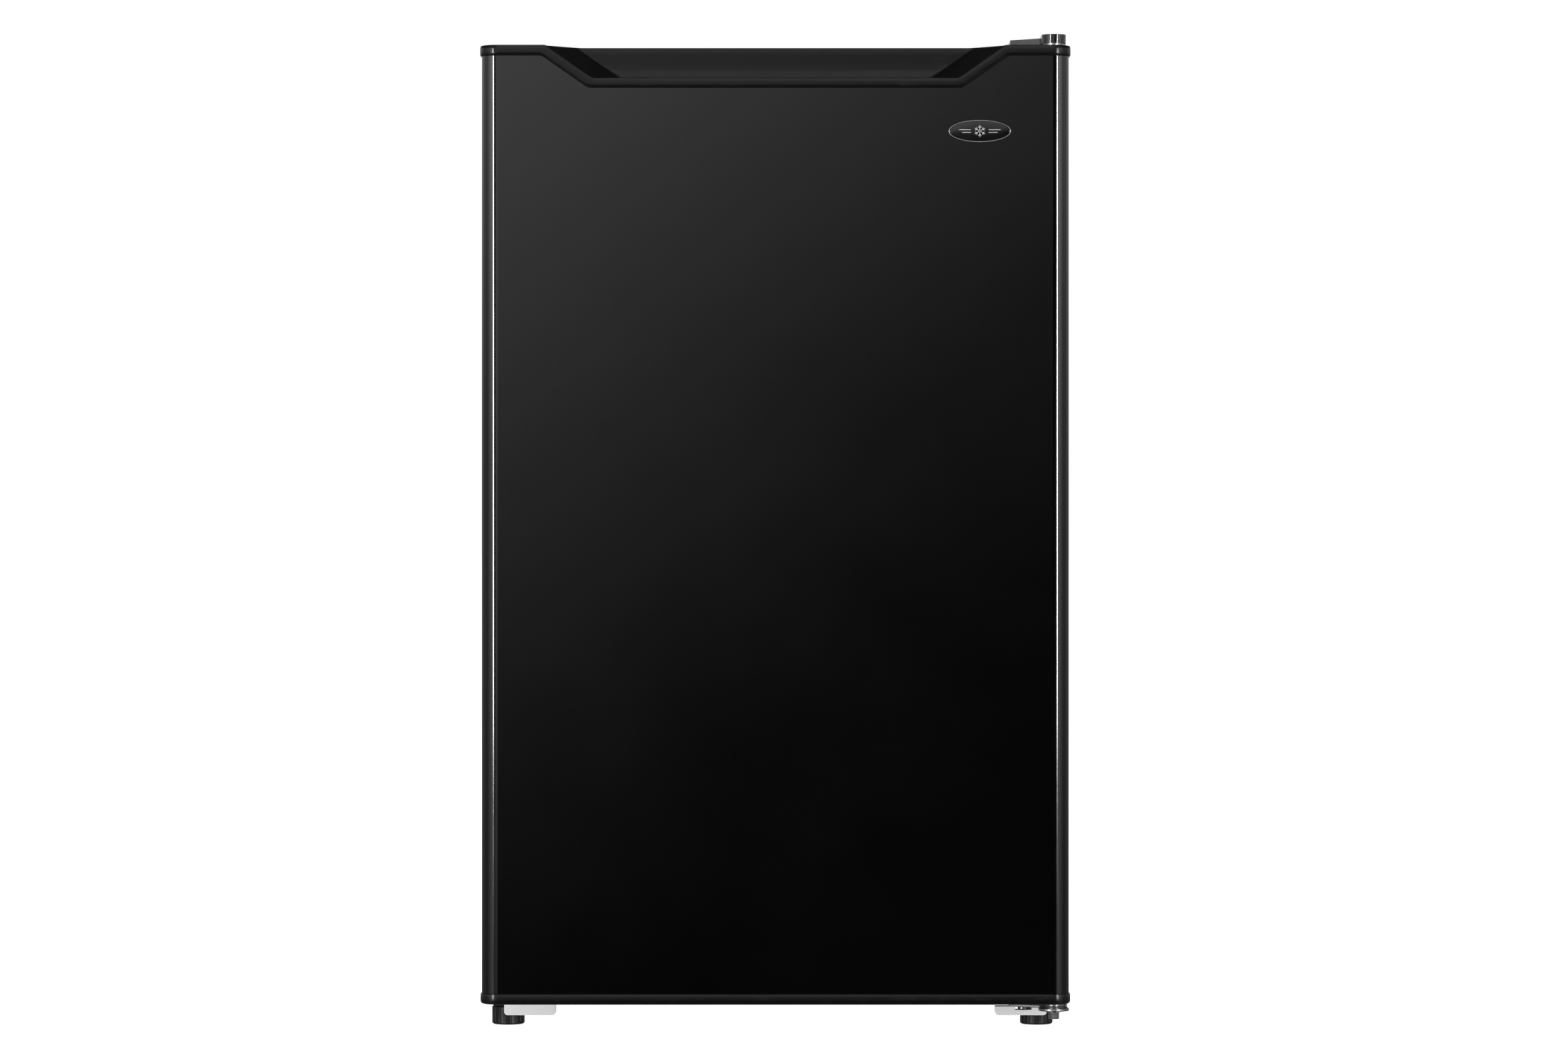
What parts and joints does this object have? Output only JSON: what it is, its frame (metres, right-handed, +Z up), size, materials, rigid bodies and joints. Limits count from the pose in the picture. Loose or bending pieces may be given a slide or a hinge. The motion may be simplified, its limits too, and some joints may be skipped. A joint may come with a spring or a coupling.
{
  "type": "compact refrigerator",
  "caption": "Compact upright fridge: one hinged black door with a recessed top grip, a small freezer box, shelves, a crisper drawer, a rear condenser and screw feet.",
  "frame": {"origin": "on the floor, under the middle of the whole fridge's outline seen from above", "axes": "+X towards the hinge side, +Y towards the back, +Z up; the closed door faces -Y"},
  "size_m": [0.5, 0.53, 0.845],
  "materials": {
    "black_coated_steel": "semi-gloss black film on steel sheet",
    "black_plastic": "semi-gloss moulded black",
    "nameplate_black": "gloss black, blank",
    "bright_rim": "bright plated rim",
    "white_plastic": "satin white polystyrene",
    "frosted_plastic": "frosted blue-white",
    "clear_plastic": "clear",
    "insulating_foam": "closed-cell foam, matt",
    "gasket_rubber": "matt extruded",
    "magnet_strip": "matt, magnet-filled",
    "zinc_steel": "zinc plated, satin",
    "bright_steel": "bright zinc plate",
    "grommet_rubber": "matt",
    "shelf_glass": "tempered clear",
    "evaporator_aluminium": "anodised, satin",
    "black_enamel": "black enamel",
    "black_moulding": "matt moulded black",
    "copper": "drawn copper tube",
    "grey_plastic": "satin grey",
    "red_plastic": "gloss red"
  },
  "bodies": {
    "cabinet": {"cabinet_wrapper": "black_coated_steel", "rear_panel": "zinc_steel", "base_plate": "zinc_steel", "front_rail": "zinc_steel", "inner_liner": "white_plastic", "cabinet_foam": "insulating_foam", "upper_hinge_bracket": "zinc_steel", "hinge_cover": "black_plastic", "lower_hinge_plate": "bright_steel", "lower_hinge_pin": "bright_steel", "hinge_screws": "zinc_steel", "left_front_block": "white_plastic", "right_front_block": "white_plastic", "lower_shelf_glass": "shelf_glass", "upper_shelf_glass": "shelf_glass", "crisper_cover_glass": "shelf_glass", "shelf_trims": "white_plastic", "evaporator_box": "evaporator_aluminium", "freezer_frame": "white_plastic", "tray_rails": "white_plastic", "thermostat_housing": "white_plastic", "condenser_tube": "black_enamel", "condenser_wires": "black_enamel", "condenser_brackets": "black_enamel", "compressor": "black_enamel", "compressor_rail": "zinc_steel", "compressor_mounts": "grommet_rubber", "relay_box": "black_moulding", "filter_drier": "copper", "refrigerant_pipes": "copper", "drain_pan": "black_moulding", "cord_inlet": "black_moulding", "rear_feet": "black_moulding"},
    "door": {"door_skin": "black_coated_steel", "door_top_cap": "black_plastic", "door_bottom_cap": "black_plastic", "door_upper_bush": "white_plastic", "door_lower_bush": "white_plastic", "door_hole_plugs": "black_plastic", "nameplate": "nameplate_black", "nameplate_rim": "bright_rim", "door_inner_panel": "white_plastic", "door_foam": "insulating_foam", "door_gasket": "gasket_rubber", "gasket_magnets": "magnet_strip", "door_bottle_rack": "clear_plastic", "door_middle_rack": "clear_plastic", "door_upper_rack": "clear_plastic"},
    "freezer_flap": {"freezer_flap": "frosted_plastic"},
    "drip_tray": {"drip_tray": "frosted_plastic"},
    "crisper_drawer": {"crisper_drawer": "clear_plastic"},
    "thermostat_knob": {"thermostat_knob": "grey_plastic"},
    "defrost_button": {"defrost_button": "red_plastic"},
    "left_foot_stem": {"left_foot_stem": "zinc_steel"},
    "left_foot_knob": {"left_foot_knob": "black_moulding"},
    "right_foot_stem": {"right_foot_stem": "zinc_steel"},
    "right_foot_knob": {"right_foot_knob": "black_moulding"}
  },
  "joints": [
    {"name": "door_hinge", "type": "hinge", "parent": "cabinet", "child": "door", "pos_m": [0.236, -0.243, 0.43], "axis": [0, 0, 1], "range_deg": [0, 115]},
    {"name": "freezer_flap_hinge", "type": "hinge", "parent": "cabinet", "child": "freezer_flap", "pos_m": [0, -0.1015, 0.651], "axis": [1, 0, 0], "range_deg": [0, 40]},
    {"name": "drip_tray_slide", "type": "slide", "parent": "cabinet", "child": "drip_tray", "axis": [0, -1, 0], "range_m": [0, 0.085]},
    {"name": "crisper_slide", "type": "slide", "parent": "cabinet", "child": "crisper_drawer", "axis": [0, -1, 0], "range_m": [0, 0.022]},
    {"name": "thermostat_turn", "type": "hinge", "parent": "cabinet", "child": "thermostat_knob", "pos_m": [0.17, -0.03, 0.569], "axis": [-1, 0, 0], "range_deg": [-270, 0]},
    {"name": "defrost_push", "type": "slide", "parent": "thermostat_knob", "child": "defrost_button", "axis": [1, 0, 0], "range_m": [0, 0.003], "stiffness_N_per_m": 150},
    {"name": "left_foot_screw", "type": "slide", "parent": "cabinet", "child": "left_foot_stem", "axis": [0, 0, -1], "range_m": [0, 0.0101]},
    {"name": "left_foot_turn", "type": "hinge", "parent": "left_foot_stem", "child": "left_foot_knob", "pos_m": [-0.23, -0.17, 0.008], "axis": [0, 0, -1], "range_deg": [0, 2880]},
    {"name": "right_foot_screw", "type": "slide", "parent": "cabinet", "child": "right_foot_stem", "axis": [0, 0, -1], "range_m": [0, 0.0101]},
    {"name": "right_foot_turn", "type": "hinge", "parent": "right_foot_stem", "child": "right_foot_knob", "pos_m": [0.2246, -0.17, 0.008], "axis": [0, 0, -1], "range_deg": [0, 2880]}
  ],
  "couplings": [
    {"joint": "left_foot_screw", "follows": "left_foot_turn", "m_per_rad": 0.00019894},
    {"joint": "right_foot_screw", "follows": "right_foot_turn", "m_per_rad": 0.00019894}
  ]
}
